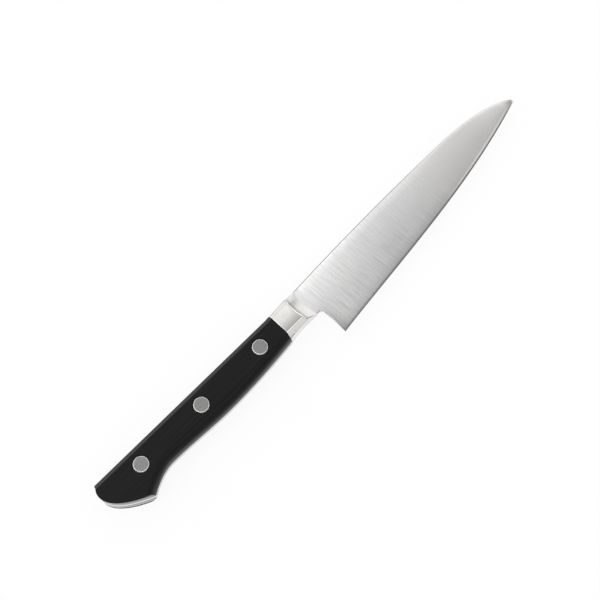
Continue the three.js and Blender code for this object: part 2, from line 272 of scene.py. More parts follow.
def lerp(a, b, t):
    """Straight mix: a at t = 0, b at t = 1."""
    return a + (b - a) * t


def smoothstep(t):
    """Rises from 0 to 1 with level ends: 3t squared less 2t cubed."""
    t = np.clip(t, 0, 1)
    return t * t * (3 - 2 * t)


def hermite(x, start, end):
    """Cubic through two (x, y, slope) ends."""
    (x0, y0, slope0), (x1, y1, slope1) = start, end
    t = (x - x0) / (x1 - x0)
    rest = 1 - t
    near = y0 * (1 + 2 * t) + slope0 * (x1 - x0) * t
    far = y1 * (1 + 2 * rest) - slope1 * (x1 - x0) * rest
    return near * rest**2 + far * t**2


def spine_height(x):
    """Level, then part of a quarter ellipse down to the tip."""
    along = np.clip((x - TIP_X) / POINT_LENGTH + 1, 0, 1) * POINT_ROUNDNESS
    fall = (1 - np.sqrt(1 - along**2)) / (1 - np.sqrt(1 - POINT_ROUNDNESS**2))
    return SPINE_HEIGHT - (SPINE_HEIGHT - TIP_HEIGHT) * fall


def edge_height(x):
    """One cubic from heel to tip, carried straight on behind the heel."""
    curve = hermite(x, (HEEL_REACH, -HEEL_DEPTH, HEEL_SLOPE), (TIP_X, TIP_HEIGHT, TIP_SLOPE))
    return np.where(x > HEEL_REACH, curve, -HEEL_DEPTH + HEEL_SLOPE * (x - HEEL_REACH))


def back_height(x):
    """Straight along the handle to a dip by the joint, then a flat parabola up to the spine."""
    butt = BUTT_X + BUTT_CORNER
    handle = lerp(BUTT_CREST, CREST_DIP, (x - butt) / (-DIP_SETBACK - butt))
    left = (SPINE_REACH - x) / (SPINE_REACH + DIP_SETBACK)
    rise = lerp(SPINE_HEIGHT, CREST_DIP, left**2)
    return np.where(x < -DIP_SETBACK, handle, np.where(x > SPINE_REACH, spine_height(x), rise))


def belly_height(x):
    """Cubics from the joint through palm swell and waist to the beak, and a parabola out along the neck."""
    joint = (0.0, -BELLY_FRONT, BELLY_FRONT_SLOPE)
    swell = (-SWELL_SETBACK, -SWELL_DEPTH, 0.0)
    waist = (BEAK_X + WAIST_TO_BEAK, -WAIST_DEPTH, 0.0)
    beak = (BEAK_X, -BEAK_DEPTH, BEAK_SLOPE)
    neck = lerp(-BELLY_FRONT, -NECK_DEPTH, 1 - np.clip(1 - x / NECK_FLARE, 0, 1) ** 2)
    return np.select(
        [x > 0, x > swell[0], x > waist[0], x > beak[0]],
        [neck, hermite(x, joint, swell), hermite(x, swell, waist), hermite(x, waist, beak)],
        beak[1] + beak[2] * (x - beak[0]))


def butt_outline(steps):
    """(x, y) points of the butt: a parabola round the upper corner, then a Bezier cubic down to the beak."""
    t = np.linspace(0, 1, steps)[:, None]
    corner = np.array([BUTT_X, BUTT_CREST])
    before = corner + [BUTT_CORNER, 0]
    after = corner - [0, BUTT_CORNER]
    beak = np.array([BEAK_X, -BEAK_DEPTH])
    bulge = np.array([BUTT_X - BUTT_BULGE, lerp(BUTT_CREST, -BEAK_DEPTH, BULGE_SHARE)])
    fullness = np.array([BUTT_X - BUTT_FULLNESS, lerp(BUTT_CREST, -BEAK_DEPTH, FULLNESS_SHARE)])
    turn = before * (1 - t) ** 2 + corner * 2 * t * (1 - t) + after * t**2
    sweep = after * (1 - t) ** 3 + bulge * 3 * t * (1 - t) ** 2 + fullness * 3 * t**2 * (1 - t) + beak * t**3
    return np.concatenate([turn[:-1], sweep])


def half_thickness(x, y):
    """From the spine down, half the thickness falls by a power of the way to the bevel, flat at the neck and
    gently convex along the blade, and then straight to nothing at the edge. The tang keeps it whole."""
    spine = back_height(x)
    edge = edge_height(x)
    half = lerp(STEEL_THICKNESS, TIP_THICKNESS, np.clip((x - HEEL_REACH) / EDGE_LENGTH, 0, 1)) / 2
    height = np.maximum(spine - edge, SLIVER)
    ease = np.minimum(SPINE_EASING, EASING_SHARE * height)
    bevel = np.minimum(BEVEL_WIDTH, BEVEL_SHARE * height)
    behind_bevel = np.minimum(BEVEL_THICKNESS, 2 * half) / 2
    power = NECK_GRIND * (BLADE_GRIND / NECK_GRIND) ** smoothstep((x - BOLSTER_LENGTH) / GRIND_RUNOUT)
    down = np.clip((spine - ease - y) / (height - ease - bevel), 0, 1)
    ground = lerp(half, behind_bevel, down**power)
    honed = behind_bevel * np.clip((y - edge) / bevel, 0, 1)
    return np.where(x < 0, half, np.where(y < edge + bevel, honed, ground))


def blade_rows():
    """Upper and lower end of each row across the steel, as (x, y) points from the butt to the tip. The lower
    ends follow belly, neck, choil round, back of the blade and edge, and the upper ends keep pace."""
    tang_x = np.linspace(BEAK_X, 0, TANG_ROWS)
    tang = np.column_stack([tang_x, belly_height(tang_x)])[:-1]
    neck_x = np.linspace(SLIVER, CHOIL_X - CHOIL_RADIUS, NECK_ROWS)
    neck = np.column_stack([neck_x, belly_height(neck_x)])[:-1]
    turn = np.linspace(pi / 2, 0, CHOIL_ROWS)
    choil = np.column_stack([
        CHOIL_X - CHOIL_RADIUS * (1 - np.cos(turn)), -NECK_DEPTH - CHOIL_RADIUS * (1 - np.sin(turn))])[:-1]
    t = np.linspace(0, 1, HEEL_ROWS)
    heel_wall = np.column_stack([
        lerp(CHOIL_X, HEEL_REACH, t), lerp(-NECK_DEPTH - CHOIL_RADIUS, -HEEL_DEPTH, t)])[:-1]
    t = np.linspace(0, 1, EDGE_ROWS)
    edge_x = lerp(HEEL_REACH, TIP_X, 1 - (1 - t) ** TIP_CROWDING)
    edge = np.column_stack([edge_x, edge_height(edge_x)])
    lower = np.concatenate([tang, neck, choil, heel_wall, edge])
    starts = np.cumsum([0, len(tang), len(neck), len(choil), len(heel_wall), len(edge) - 1])
    pace_x = [
        BUTT_X + BUTT_CORNER, 0, CHOIL_X - 2 * CHOIL_RADIUS, CHOIL_X - CHOIL_RADIUS, CHOIL_X + CHOIL_RADIUS]
    row = np.arange(len(lower))
    upper_x = np.interp(row, starts[:-1], pace_x)
    on_edge = row >= starts[4]
    upper_x[on_edge] = lerp(pace_x[4], TIP_X, (edge_x - HEEL_REACH) / EDGE_LENGTH)
    return np.column_stack([upper_x, back_height(upper_x)]), lower


def blade_face():
    """Right half of the blank's surface: along each row from the middle of the spine over its eased corner,
    down the face by half_thickness, over the bevel and an eased brink to the middle of the edge. The rows at
    the end of the tang bend into the butt's curve."""
    upper, lower = blade_rows()
    span = lower - upper
    length = np.linalg.norm(span, axis=1)[:, None]
    on_neck = smoothstep(upper[:, :1] / BOLSTER_LENGTH)
    ease = np.minimum(lerp(TANG_EASING, SPINE_EASING, on_neck), EASING_SHARE * length)
    bevel = np.minimum(BEVEL_WIDTH, BEVEL_SHARE * length)
    brink_half = half_thickness(lower[:, :1], lower[:, 1:])
    brink = np.minimum(lerp(TANG_EASING, BRINK_EASING, on_neck), BRINK_SHARE * brink_half)
    corner = np.linspace(0, pi / 2, CORNER_STEPS)
    face = np.linspace(0, 1, FACE_STEPS)[1:]
    slope = np.linspace(0, 1, BEVEL_STEPS)[1:]
    offsets = np.concatenate([
        0 * length,
        ease * (1 - np.cos(corner)),
        lerp(ease, length - bevel, face),
        lerp(length - bevel, length - brink, slope),
        length - brink * (1 - np.sin(corner[1:])),
        length,
    ], axis=1)
    share = np.divide(offsets, length, out=np.zeros_like(offsets), where=length > SLIVER)
    plan = upper[:, None] + span[:, None] * share[:, :, None]
    butt = butt_outline(BUTT_STEPS)
    butt_run = np.concatenate([[0], np.cumsum(np.linalg.norm(np.diff(butt, axis=0), axis=1))])
    bent = np.column_stack([np.interp(share[0], butt_run / butt_run[-1], butt[:, k]) for k in (0, 1)])
    fade = 1 - smoothstep(np.arange(len(upper)) / BUTT_BEND_ROWS)
    plan += fade[:, None, None] * (bent - plan[0])
    height = half_thickness(plan[..., 0], plan[..., 1])
    spine = slice(1, 1 + len(corner))
    height[:, spine] = height[:, spine] - ease * (1 - np.sin(corner))
    turn = slice(-len(corner), -1)
    height[:, turn] = height[:, -len(corner) - 1][:, None] - brink * (1 - np.cos(corner[1:]))
    height[:, [0, -1]] = 0
    return np.dstack([plan, height])


def mirrored(sheet):
    """The same sheet on the other side of the steel's middle plane."""
    return sheet * [1, 1, -1]


MERGE_DISTANCE = 2e-7


def weld(name, sheets, sharp_angle):
    """One closed mesh from grids of points in the knife's millimetres. Each grid becomes a sheet of quads,
    the sheets are merged where their borders meet, and edges steeper than the given angle stay crisp."""
    points = np.concatenate([sheet.reshape(-1, 3) for sheet in sheets])
    quads = []
    first = 0
    for sheet in sheets:
        rows, columns = sheet.shape[:2]
        index = np.arange(first, first + rows * columns).reshape(rows, columns)
        corners = [index[:-1, :-1], index[1:, :-1], index[1:, 1:], index[:-1, 1:]]
        quads.append(np.stack(corners, axis=-1).reshape(-1, 4))
        first += rows * columns
    mesh = bpy.data.meshes.new(name)
    mesh.from_pydata((points * MM + np.array(knife_origin)).tolist(), [], np.concatenate(quads).tolist())
    shell = bmesh.new()
    shell.from_mesh(mesh)
    bmesh.ops.remove_doubles(shell, verts=shell.verts, dist=MERGE_DISTANCE)
    bmesh.ops.dissolve_degenerate(shell, edges=shell.edges, dist=MERGE_DISTANCE)
    bmesh.ops.recalc_face_normals(shell, faces=shell.faces)
    shell.to_mesh(mesh)
    shell.free()
    mesh.shade_smooth()
    mesh.set_sharp_from_angle(angle=sharp_angle)
    piece = bpy.data.objects.new(name, mesh)
    bpy.context.scene.collection.objects.link(piece)
    return piece


def make_group(name, inputs, outputs):
    """An empty shader node group with the named sockets, and its input and output nodes."""
    group = bpy.data.node_groups.new(name, "ShaderNodeTree")
    for title, kind in inputs:
        group.interface.new_socket(title, in_out="INPUT", socket_type=kind)
    for title, kind in outputs:
        group.interface.new_socket(title, in_out="OUTPUT", socket_type=kind)
    return group, group.nodes.new("NodeGroupInput"), group.nodes.new("NodeGroupOutput")


NOISE_LOW = 0.3
NOISE_HIGH = 0.7
BROAD_LINES = 0.35
FINE_SHARE = 0.8


def make_grinding_lines():
    """Lines from 0 to 1, once the given vector is stretched along y: broad noise mixed with fine noise."""
    group, entry, exit_node = make_group(
        "grinding_lines", [("Vector", "NodeSocketVector")], [("Lines", "NodeSocketFloat")])
    broad = add_node(
        group, "ShaderNodeTexNoise", {"Vector": entry.outputs["Vector"], "Scale": BROAD_LINES, "Detail": 1.0},
        noise_dimensions="2D")
    fine = add_node(
        group, "ShaderNodeTexNoise", {"Vector": entry.outputs["Vector"], "Scale": 1.0, "Detail": 1.0},
        noise_dimensions="2D")
    both = add_node(
        group, "ShaderNodeMix", {"Factor": FINE_SHARE, "A": broad.outputs["Fac"], "B": fine.outputs["Fac"]})
    spread = add_node(group, "ShaderNodeMapRange", {
        "Value": both.outputs["Result"], "From Min": NOISE_LOW, "From Max": NOISE_HIGH})
    link(group, spread.outputs["Result"], exit_node.inputs["Lines"])
    return group


def make_smudges():
    """Soft patches of handling, about one per unit of the given vector, from 0 to 1."""
    group, entry, exit_node = make_group(
        "smudges", [("Vector", "NodeSocketVector")], [("Smudge", "NodeSocketFloat")])
    cloud = add_node(group, "ShaderNodeTexNoise", {
        "Vector": entry.outputs["Vector"], "Scale": 1.0, "Detail": 4.0, "Roughness": 0.6, "Distortion": 0.4})
    spread = add_node(group, "ShaderNodeMapRange", {
        "Value": cloud.outputs["Fac"], "From Min": NOISE_LOW, "From Max": NOISE_HIGH})
    link(group, spread.outputs["Result"], exit_node.inputs["Smudge"])
    return group


grinding_lines = make_grinding_lines()
smudges = make_smudges()


def start_material(name):
    """A node material with its tree, its Principled shader, its Object coordinates and its normals."""
    material = bpy.data.materials.new(name)
    material.use_nodes = True
    tree = material.node_tree
    shader = tree.nodes["Principled BSDF"]
    coordinates = add_node(tree, "ShaderNodeTexCoord", {}).outputs
    return material, tree, shader, coordinates["Object"], coordinates["Normal"]


def place_pattern(tree, place, group, sizes_mm, lean=0.0):
    """A pattern group on Object coordinates, one unit of it as large as the sizes, turned by lean."""
    turned = add_node(tree, "ShaderNodeMapping", {
        "Vector": place, "Rotation": (0, 0, lean), "Scale": tuple(size * MM for size in sizes_mm),
    }, vector_type="TEXTURE")
    node = add_node(tree, "ShaderNodeGroup", {}, node_tree=group)
    link(tree, turned.outputs["Vector"], node.inputs["Vector"])
    return node.outputs[0]


def ramp(tree, value, from_low, from_high, to_low, to_high):
    """The value carried from one range to another by a smooth step, held at both ends."""
    node = add_node(tree, "ShaderNodeMapRange", {
        "Value": value, "From Min": from_low, "From Max": from_high, "To Min": to_low, "To Max": to_high,
    }, interpolation_type="SMOOTHSTEP")
    return node.outputs["Result"]


def along_knife(tree, x, start, end, low, high):
    """Goes from low to high between two places along the knife, in millimetres."""
    return ramp(tree, x, knife_origin.x + start * MM, knife_origin.x + end * MM, low, high)


def split(tree, vector):
    """The X, Y and Z outputs of a vector."""
    return add_node(tree, "ShaderNodeSeparateXYZ", {"Vector": vector}).outputs


def from_mid_steel(tree, place):
    """Distance of a place from the middle plane of the steel, in millimetres."""
    height = combine(tree, "SUBTRACT", split(tree, place)["Z"], knife_origin.z)
    apart = add_node(tree, "ShaderNodeMath", {0: height}, operation="ABSOLUTE").outputs[0]
    return combine(tree, "DIVIDE", apart, MM)


def mix_colors(tree, share, first, second):
    """The first colour at share 0, the second at share 1."""
    node = add_node(tree, "ShaderNodeMix", {"Factor": share, "A": first, "B": second}, data_type="RGBA")
    return node.outputs["Result"]


HEIGHT_NAMES = ("below_spine", "above_edge", "above_neck")
OFF_NECK = 99.0


def record_heights(mesh):
    """Stores how far each point lies below the spine, above the edge and above the neck's lower line, in
    millimetres. Off the neck that last one is large."""
    places = np.empty(3 * len(mesh.vertices), np.float32)
    mesh.vertices.foreach_get("co", places)
    x, y, _ = ((places.reshape(-1, 3) - np.array(knife_origin)) / MM).T
    on_neck = (x > BOLSTER_LENGTH) & (x < CHOIL_X - CHOIL_RADIUS / 2)
    heights = back_height(x) - y, y - edge_height(x), np.where(on_neck, y - belly_height(x), OFF_NECK)
    for name, height in zip(HEIGHT_NAMES, heights):
        mesh.attributes.new(name, "FLOAT", "POINT").data.foreach_set("value", height.astype(np.float32))


LINE_SIZES = (0.27, 10.0, 0.27)
LINE_LEAN = radians(3)
LINE_DEPTH = 0.004
LINE_RELIEF = 0.35
LINE_CONTRAST = 0.32
# Painted sheen: by the spine the lines get more contrast, as a highlight.
SPINE_SHEEN_CONTRAST = 3.1
LINES_FROM = 13.5
LINES_FULL = 17.0
LINES_FADED = 0.75 * TIP_X
LINES_LEFT = 0.12
STEEL_SMUDGES = (14.0, 9.0, 9.0)
STEEL_DARK = (0.36, 0.36, 0.36, 1)
STEEL_LIGHT = (0.86, 0.86, 0.855, 1)
WARM_TINT = (1.0, 0.975, 0.96, 1)
# Painted shade: the grey of a dark line along the eased corners of spine and neck.
CORNER_SHADE_GREY = (0.3, 0.3, 0.3, 1)
MIDDLE_TONE = 0.5
STEEL_ROUGHNESS = (0.22, 0.27)
LINE_ROUGHNESS = 0.08
STEEL_ANISOTROPY = 0.85
# From here on, a pair says where a change begins and ends, in millimetres along the knife, below the spine
# or above the edge or neck, and a single value says how strong it is.
HEEL_HALF = (70.0, 110.0)
# Painted sheen by the spine: a light band, and bright speckles along the lines.
SPINE_SHEEN = 0.2
SPINE_BAND = (0.5, 4.5)
SPECKLED_SHEEN = 0.3
SPECKLE_BAND = (0.5, 1.8)
# Painted sheen, as lightness added to the colour: by the polished neck, over the heel and towards the tip.
# The neck is polished, and the lightness added there is painted sheen.
POLISH_SHEEN = 0.12
POLISH_RUNOUT = (12.5, 15.5)
HEEL_SHEEN = 0.24
HEEL_RISE = (LINES_FROM, 22.0)
HEEL_FALL = (LINES_FULL, 65.0)
POINT_SHEEN = 0.3
POINT_RISE = (112.0, 136.0)
TIP_END_SHEEN = 0.5
TIP_END_RISE = (129.0, 136.0)
# Painted sheen: a light line just above the honed bevel.
HONED_SHEEN = 0.6
HONED_RISE = (0.45, 0.7)
HONED_FALL = (0.85, 1.7)
# Painted shade: the steel darker towards the edge, and a dark line on the bevel.
EDGE_SHADE = 0.18
EDGE_BAND = (0.4, 5.0)
BEVEL_SHADE = 0.5
BEVEL_BAND = (0.4, 0.65)
BEVEL_RUNOUT = (133.5, 136.8)
# The painted dark line of shade along the corners of spine and neck.
CORNER_RISE = (0.02, 0.1)
CORNER_FALL = (0.3, 0.5)
NECK_CORNER_FALL = (0.2, 0.45)
NECK_CORNER_SHARE = 0.8


def blade_steel():
    """Satin steel. Grinding lines lean from spine to edge, begin past the polished neck and fade to the tip.

    The tone between dark and light steel is the middle one, plus the lines, plus painted sheen: the lines are
    strongest and speckled by the spine, and lighter by spine, neck, heel, tip and honed bevel. Less painted
    shade by the edge and on the bevel. The tip half is a little warmer, and a painted dark line of shade
    follows the corners of spine and neck."""
    material, tree, shader, place, _ = start_material("satin_blade_steel")
    x = split(tree, place)["X"]
    below, above, clear = (
        add_node(tree, "ShaderNodeAttribute", {}, attribute_name=name).outputs["Fac"]
        for name in HEIGHT_NAMES)
    lines = place_pattern(tree, place, grinding_lines, LINE_SIZES, LINE_LEAN)
    smudge = place_pattern(tree, place, smudges, STEEL_SMUDGES)
    begin = along_knife(tree, x, LINES_FROM, LINES_FULL, 0, 1)
    fade = along_knife(tree, x, LINES_FULL, LINES_FADED, 1, LINES_LEFT)
    shown = combine(tree, "MULTIPLY", combine(tree, "SUBTRACT", lines, MIDDLE_TONE), begin, fade)
    heel_half = along_knife(tree, x, *HEEL_HALF, 1, 0)
    # Painted sheen by the spine: a light band, stronger lines and bright speckles.
    spine_sheen_band = combine(tree, "MULTIPLY", ramp(tree, below, *SPINE_BAND, 1, 0), heel_half, begin)
    contrast = ramp(tree, spine_sheen_band, 0, 1, LINE_CONTRAST, LINE_CONTRAST * SPINE_SHEEN_CONTRAST)
    in_speckled_sheen = ramp(tree, below, *SPECKLE_BAND, 1, 0)
    # Painted sheen: a light line just above the honed bevel.
    sheen_past_bevel = combine(
        tree, "MULTIPLY", ramp(tree, above, *HONED_RISE, 0, 1), ramp(tree, above, *HONED_FALL, 1, 0))
    # Painted sheen over the heel, by the polished neck and towards the tip.
    painted_heel_sheen = combine(
        tree, "MULTIPLY", along_knife(tree, x, *HEEL_FALL, HEEL_SHEEN, 0),
        along_knife(tree, x, *HEEL_RISE, 0, 1))
    lines_and_sheen = combine(
        tree, "ADD",
        combine(tree, "MULTIPLY", shown, contrast),
        combine(tree, "MULTIPLY", in_speckled_sheen, ramp(tree, heel_half, 0, 1, SPECKLED_SHEEN, 0), lines),
        combine(tree, "MULTIPLY", spine_sheen_band, SPINE_SHEEN),
        along_knife(tree, x, *POLISH_RUNOUT, POLISH_SHEEN, 0),
        painted_heel_sheen,
        along_knife(tree, x, *POINT_RISE, 0, POINT_SHEEN),
        combine(tree, "MULTIPLY", sheen_past_bevel, ramp(tree, heel_half, 0, 1, HONED_SHEEN, 0)),
        along_knife(tree, x, *TIP_END_RISE, 0, TIP_END_SHEEN))
    # Painted shade: darker towards the edge, and a dark line on the bevel that fades at the tip.
    painted_edge_shade = combine(tree, "MULTIPLY", ramp(tree, above, *EDGE_BAND, EDGE_SHADE, 0), heel_half)
    at_bevel = ramp(tree, above, *BEVEL_BAND, BEVEL_SHADE, 0)
    painted_bevel_shade = combine(tree, "MULTIPLY", at_bevel, along_knife(tree, x, *BEVEL_RUNOUT, 1, 0))
    painted_shade = combine(tree, "ADD", painted_edge_shade, painted_bevel_shade)
    tone = combine(tree, "ADD", combine(tree, "SUBTRACT", lines_and_sheen, painted_shade), MIDDLE_TONE)
    ground = mix_colors(tree, tone, STEEL_DARK, STEEL_LIGHT)
    tinted = add_node(tree, "ShaderNodeMix", {
        "Factor": ramp(tree, heel_half, 0, 1, 1, 0), "A": ground, "B": WARM_TINT,
    }, data_type="RGBA", blend_type="MULTIPLY").outputs["Result"]
    # Painted shade: a dark line along the eased corners of spine and neck.
    spine_corner_shade = combine(
        tree, "MULTIPLY", ramp(tree, below, *CORNER_RISE, 0, 1),
        ramp(tree, below, *CORNER_FALL, 1, 0), heel_half)
    neck_corner_shade = combine(
        tree, "MULTIPLY", ramp(tree, clear, *CORNER_RISE, 0, 1),
        ramp(tree, clear, *NECK_CORNER_FALL, NECK_CORNER_SHARE, 0))
    painted_corner_line = combine(tree, "MAXIMUM", spine_corner_shade, neck_corner_shade)
    link(tree, mix_colors(tree, painted_corner_line, tinted, CORNER_SHADE_GREY), shader.inputs["Base Color"])
    rough_lines = combine(tree, "MULTIPLY", shown, LINE_ROUGHNESS)
    rough = combine(tree, "ADD", rough_lines, ramp(tree, smudge, 0, 1, *STEEL_ROUGHNESS))
    link(tree, rough, shader.inputs["Roughness"])
    bump = add_node(tree, "ShaderNodeBump", {
        "Height": shown, "Strength": LINE_RELIEF, "Distance": LINE_DEPTH * MM})
    link(tree, bump.outputs["Normal"], shader.inputs["Normal"])
    across_lines = add_node(tree, "ShaderNodeCombineXYZ", {"X": cos(LINE_LEAN), "Y": sin(LINE_LEAN)})
    link(tree, across_lines.outputs["Vector"], shader.inputs["Tangent"])
    shader.inputs["Anisotropic"].default_value = STEEL_ANISOTROPY
    shader.inputs["Metallic"].default_value = 1.0
    return material


FRONT_RIVET_SETBACK = 11.1
RIVET_SPACING = 31.3
RIVET_NAMES = ("front", "middle", "rear")
TUBE_DIAMETER = 4.4
RIVET_FIT = 0.06
CIRCLE_STEPS = 97
CUTTER_REACH = 20.0


def rivet_x(number):
    """Centre of a rivet along the knife, counted from the bolster."""
    return -FRONT_RIVET_SETBACK - number * RIVET_SPACING


def turned_sheet(profile, x):
    """A profile of (radius, z) carried once round an axis along z through the rivet line at x."""
    radius, z = np.array(profile, float).T
    angle = np.linspace(0, 2 * pi, CIRCLE_STEPS)
    return np.dstack([
        x + np.outer(radius, np.cos(angle)),
        np.outer(radius, np.sin(angle)),
        np.outer(z, np.ones_like(angle))])


def drill(piece, profile, sharp_angle):
    """Cuts the turned profile out of the piece at each rivet and keeps the result as its mesh."""
    bores = [turned_sheet(profile, rivet_x(number)) for number in range(len(RIVET_NAMES))]
    cutter = weld("rivet_bores", bores, sharp_angle)
    cut = piece.modifiers.new("bores", "BOOLEAN")
    cut.operation = "DIFFERENCE"
    cut.solver = "EXACT"
    cut.object = cutter
    bored = bpy.data.meshes.new_from_object(piece.evaluated_get(bpy.context.evaluated_depsgraph_get()))
    piece.modifiers.clear()
    bored.name = piece.data.name
    piece.data = bored
    bored.shade_smooth()
    bored.set_sharp_from_angle(angle=sharp_angle)
    bpy.data.objects.remove(cutter)


def finish_piece(piece, material, slot, *nodes):
    """Gives a piece its material, in place of the solids that it stands for, on the one body. Its slot is not
    used.
    """
    piece.data.materials.clear()
    piece.data.materials.append(material)
    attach(piece, "root")
    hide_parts(*nodes)


CRISP = radians(28)
face = blade_face()
butt_wall = np.stack([face[0], mirrored(face[0])])
blade = weld("blade_blank", [face, mirrored(face), butt_wall], CRISP)
hole = TUBE_DIAMETER / 2 + RIVET_FIT
drill(blade, [(0, -CUTTER_REACH), (hole, -CUTTER_REACH), (hole, CUTTER_REACH), (0, CUTTER_REACH)], CRISP)
record_heights(blade.data)
finish_piece(blade, blade_steel(), "blade_steel", "blade")

# Bolster halves: stainless steel, welded to both sides of the tang and polished with it. The side is nearly
# flat, the back keeps the handle's chamfer, the lower wall slopes in from the tang, and the front is scooped
# out to the neck.
HANDLE_THICKNESS = 12.2
BACK_DRAFT = 0.5
CHAMFER_WIDTH = 1.7
CHAMFER_DEPTH = 1.1
BOLSTER_HOLLOW = 0.75
FILLET_LENGTH = 5.0
FILLET_TURN = 1.2
CREASE_DEPTH = 4.0
CREASE_ROUND = 1.3
RIDGE_ROUND = 0.7
REAR_ROUND = 0.5
FRONT_ROUND = 0.8
WELD_SINK = 0.02
SIDE_CROWN = 0.32
NEAR_CORNER = 0.02
HALF_STEEL = STEEL_THICKNESS / 2
HALF_HANDLE = HANDLE_THICKNESS / 2
BOLSTER_ARC_STEPS = 7
BOLSTER_FLAT_STEPS = (6, 3, 30)
BOLSTER_SIDE_ROWS = 30
FILLET_ROWS = 41
CREASE_CORNER = 3
FOOT_CORNER = 4


def back_at(x, z):
    """Back of the handle at a height above the steel: drafted from the tang up to the chamfer."""
    rise = (z - HALF_STEEL) / (HALF_HANDLE - CHAMFER_DEPTH - HALF_STEEL)
    return back_height(x) - BACK_DRAFT * np.clip(rise, 0, 1)


def lower_wall_at(x, z):
    """Lower wall of the bolster at a height above the steel: straight from the tang to the crease."""
    return lerp(belly_height(x), -CREASE_DEPTH, (z - HALF_STEEL) / (HALF_HANDLE - HALF_STEEL))


def corner_weights(rounds, arc_steps, flat_steps):
    """Each point of a line with rounded corners, as its shares of the corners. rounds holds, for each inner
    corner, how far its elliptic round reaches to the corner before and after it, as shares of the way."""
    count = len(rounds) + 2
    unit = np.eye(count)
    turn = np.linspace(0, pi / 2, arc_steps)[:, None]
    stretches = [unit[:1]]
    for corner, (before, after) in enumerate(rounds, start=1):
        towards = (unit[corner - 1] - unit[corner]) * before
        onward = (unit[corner + 1] - unit[corner]) * after
        arc = unit[corner] + towards * (1 - np.sin(turn)) + onward * (1 - np.cos(turn))
        inner = np.linspace(NEAR_CORNER, 1 - NEAR_CORNER, flat_steps[corner - 1] + 1)[:, None]
        flat = lerp(stretches[-1][-1:], arc[:1], inner)
        stretches += [flat, arc]
    stretches.append(unit[-1:])
    return np.concatenate(stretches)


def bolster_surface():
    """Rows run from the rounded rear edge along the side to the rounded front line, which bows back at its
    middle, and on down a concave arc to the neck. Columns go round the section, from the tang at the back
    over draft, chamfer, side and crease to the tang at the belly, as blends of its five corners. The side
    is crowned: it falls with the cube of the way to the crease."""
    seat = HALF_STEEL - WELD_SINK
    height = HALF_HANDLE - seat
    chamfer_start = 1 - CHAMFER_WIDTH / (back_at(0.0, HALF_HANDLE) + CREASE_DEPTH)
    side_width = CREASE_DEPTH + SPINE_HEIGHT - CHAMFER_WIDTH
    weights = corner_weights([
        (RIDGE_ROUND / height, RIDGE_ROUND / CHAMFER_WIDTH),
        (RIDGE_ROUND / CHAMFER_WIDTH, RIDGE_ROUND / side_width),
        (CREASE_ROUND / side_width, CREASE_ROUND / height),
    ], BOLSTER_ARC_STEPS, BOLSTER_FLAT_STEPS)
    across = weights @ [1, 1, chamfer_start, 0, 0]
    front = BOLSTER_LENGTH + BOLSTER_HOLLOW * (2 * across - 1) ** 2
    turn = np.linspace(0, pi / 2, BOLSTER_ARC_STEPS)
    scoop = np.linspace(0, FILLET_TURN, FILLET_ROWS)[1:]
    drop = np.sin(scoop) / np.sin(FILLET_TURN)
    run = (1 - np.cos(scoop)) / (1 - np.cos(FILLET_TURN))
    side = np.linspace(0, 1, BOLSTER_SIDE_ROWS)[1:-1]
    share = np.concatenate([0 * turn, side, 1 + 0 * turn, 1 + 0 * scoop])
    beyond = np.concatenate([
        REAR_ROUND * (1 - np.cos(turn)), lerp(REAR_ROUND, -FRONT_ROUND, side),
        -FRONT_ROUND * (1 - np.sin(turn)), run * FILLET_LENGTH])
    lowered = np.concatenate([
        REAR_ROUND * (1 - np.sin(turn)), 0 * side, FRONT_ROUND * (1 - np.cos(turn)),
        lerp(FRONT_ROUND, height, drop)])
    rise = (1 - lowered / height)[:, None]
    x = share[:, None] * front + beyond[:, None]
    top = seat + height * rise + 0 * x
    shoulder = seat + (height - CHAMFER_DEPTH) * rise + 0 * x
    floor = seat + 0 * x
    corners_y = [
        back_at(x, floor), back_at(x, shoulder),
        lerp(lower_wall_at(x, top), back_at(x, top), chamfer_start),
        lower_wall_at(x, top), lower_wall_at(x, floor),
    ]
    y = sum(weights[:, k] * corner for k, corner in enumerate(corners_y))
    z = sum(weights[:, k] * corner for k, corner in enumerate([floor, shoulder, top, top, floor]))
    to_crease = weights[:, CREASE_CORNER] + weights[:, FOOT_CORNER]
    z -= SIDE_CROWN * weights[:, CREASE_CORNER] * to_crease**2 * rise
    return np.dstack([x, y, z])


def shell_over_seat(outer, closed_front=True):
    """Sheets of a piece on a flat seat: its outer surface, its shadow on the seat and its end walls."""
    seat = outer[0, 0, 2]
    shadow = outer.copy()
    shadow[..., 2] = seat
    sheets = [outer, shadow, np.stack([outer[0], shadow[0]])]
    if closed_front:
        sheets.append(np.stack([outer[-1], shadow[-1]]))
    return sheets


POLISHED = (0.68, 0.67, 0.65, 1)
POLISHED_DULL = (0.62, 0.615, 0.60, 1)
# Painted highlight: the brighter steel on the crease, the front ridge and the foot of the lower wall.
PAINTED_HIGHLIGHT = (0.85, 0.84, 0.82, 1)
POLISH_LINES = (0.2, 8.0, 0.2)
POLISH_SMUDGES = (6.0, 5.0, 5.0)
POLISH_ROUGHNESS = (0.10, 0.16)
POLISH_LINE_ROUGHNESS = 0.04
# Where each change begins and ends, first by a part of the normal and then in millimetres.
FACING_WALL = (-0.88, -0.78)
FACING_SIDE = (-0.35, -0.2)
FACING_FRONT = (0.1, 0.3)
RIDGE_HEIGHT = (5.2, 5.6)
BELLY_SIDE = (-5.2, -4.6)
SEAM_GREY = (0.36, 0.36, 0.335, 1)
SEAM_RISE = (2.1, 2.5)
SEAM_FALL = (3.1, 3.5)
SEAM_END = (9.4, 10.4)
SEAM_PATCHES = (1.2, 1.2, 1.2)
SEAM_PATCH_RANGE = (0.2, 0.7)
SEAM_FAINTEST = 0.35


